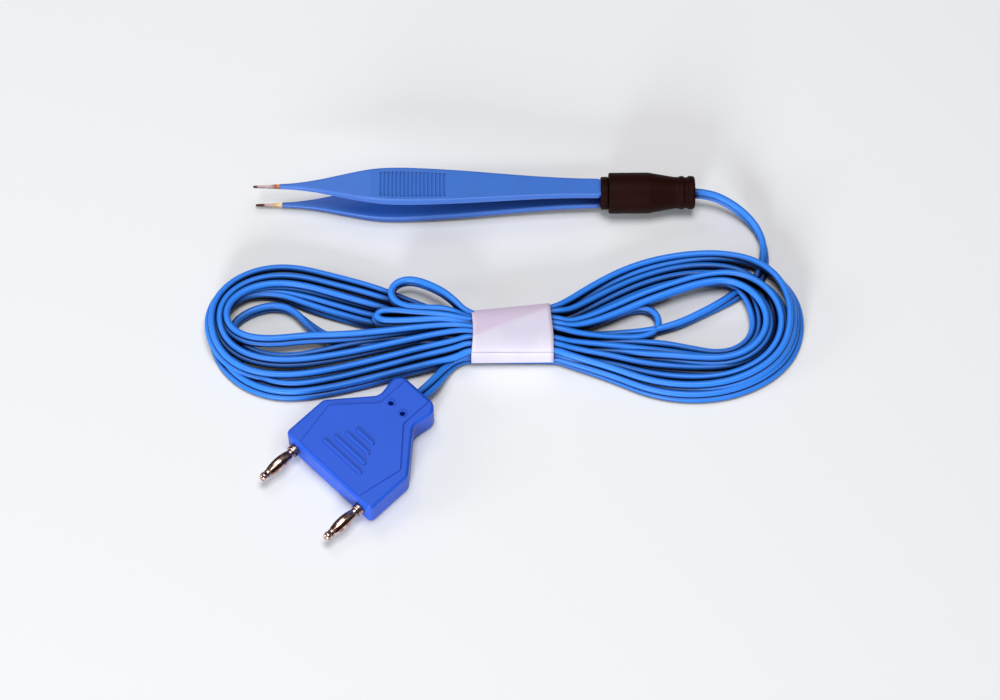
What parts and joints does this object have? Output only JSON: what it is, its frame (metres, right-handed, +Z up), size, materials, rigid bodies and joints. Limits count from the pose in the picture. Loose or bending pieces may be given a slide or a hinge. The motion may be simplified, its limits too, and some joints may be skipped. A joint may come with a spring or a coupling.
{
  "type": "bipolar forceps",
  "caption": "Slim sprung bipolar forceps with blue insulated arms, black connector, blue twin lead folded into a banded hank and a flat plug with lantern pins.",
  "frame": {"origin": "on the table, under the middle of the forceps and its connector", "axes": "+X along the forceps from the tips to the connector, +Y away from the hank, +Z up"},
  "size_m": [0.1926, 0.1293, 0.0148],
  "materials": {
    "blue_insulation": "satin moulded nylon",
    "blue_cable": "soft satin PVC",
    "blue_plug": "satin moulded PVC",
    "black_plastic": "fine-grained moulded plastic",
    "white_paper": "uncoated paper",
    "steel": "fine satin",
    "nickel": "bright nickel plating",
    "copper": "bare copper strands",
    "inner_plastic": "plain moulded plastic"
  },
  "bodies": {
    "connector": {"connector_housing": "black_plastic", "socket_insert": "inner_plastic", "upper_socket": "nickel", "lower_socket": "nickel", "upper_conductor": "copper", "lower_conductor": "copper", "cord_clamp": "nickel", "cable_lead": "blue_cable", "cable_hank": "blue_cable", "cable_tail": "blue_cable", "paper_band": "white_paper", "plug_housing": "blue_plug", "plug_carrier": "inner_plastic", "left_pin_core": "nickel", "right_pin_core": "nickel", "left_pin_spring": "nickel", "right_pin_spring": "nickel", "left_pin_conductor": "copper", "right_pin_conductor": "copper"},
    "forceps": {"arm_holder": "black_plastic", "upper_prong": "nickel", "lower_prong": "nickel"},
    "upper_arm": {"upper_arm_cover": "blue_insulation", "upper_blade": "steel"},
    "lower_arm": {"lower_arm_cover": "blue_insulation", "lower_blade": "steel"}
  },
  "joints": [
    {"name": "forceps_pull", "type": "slide", "parent": "connector", "child": "forceps", "axis": [-1, 0, 0], "range_m": [0, 0.0078]},
    {"name": "upper_arm_flex", "type": "hinge", "parent": "forceps", "child": "upper_arm", "pos_m": [0.04225, 0, 0.01046], "axis": [0, -1, 0], "range_deg": [0, 2.75], "stiffness_Nm_per_rad": 3},
    {"name": "lower_arm_flex", "type": "hinge", "parent": "forceps", "child": "lower_arm", "pos_m": [0.04225, 0, 0.00434], "axis": [0, 1, 0], "range_deg": [0, 2.75], "stiffness_Nm_per_rad": 3}
  ]
}
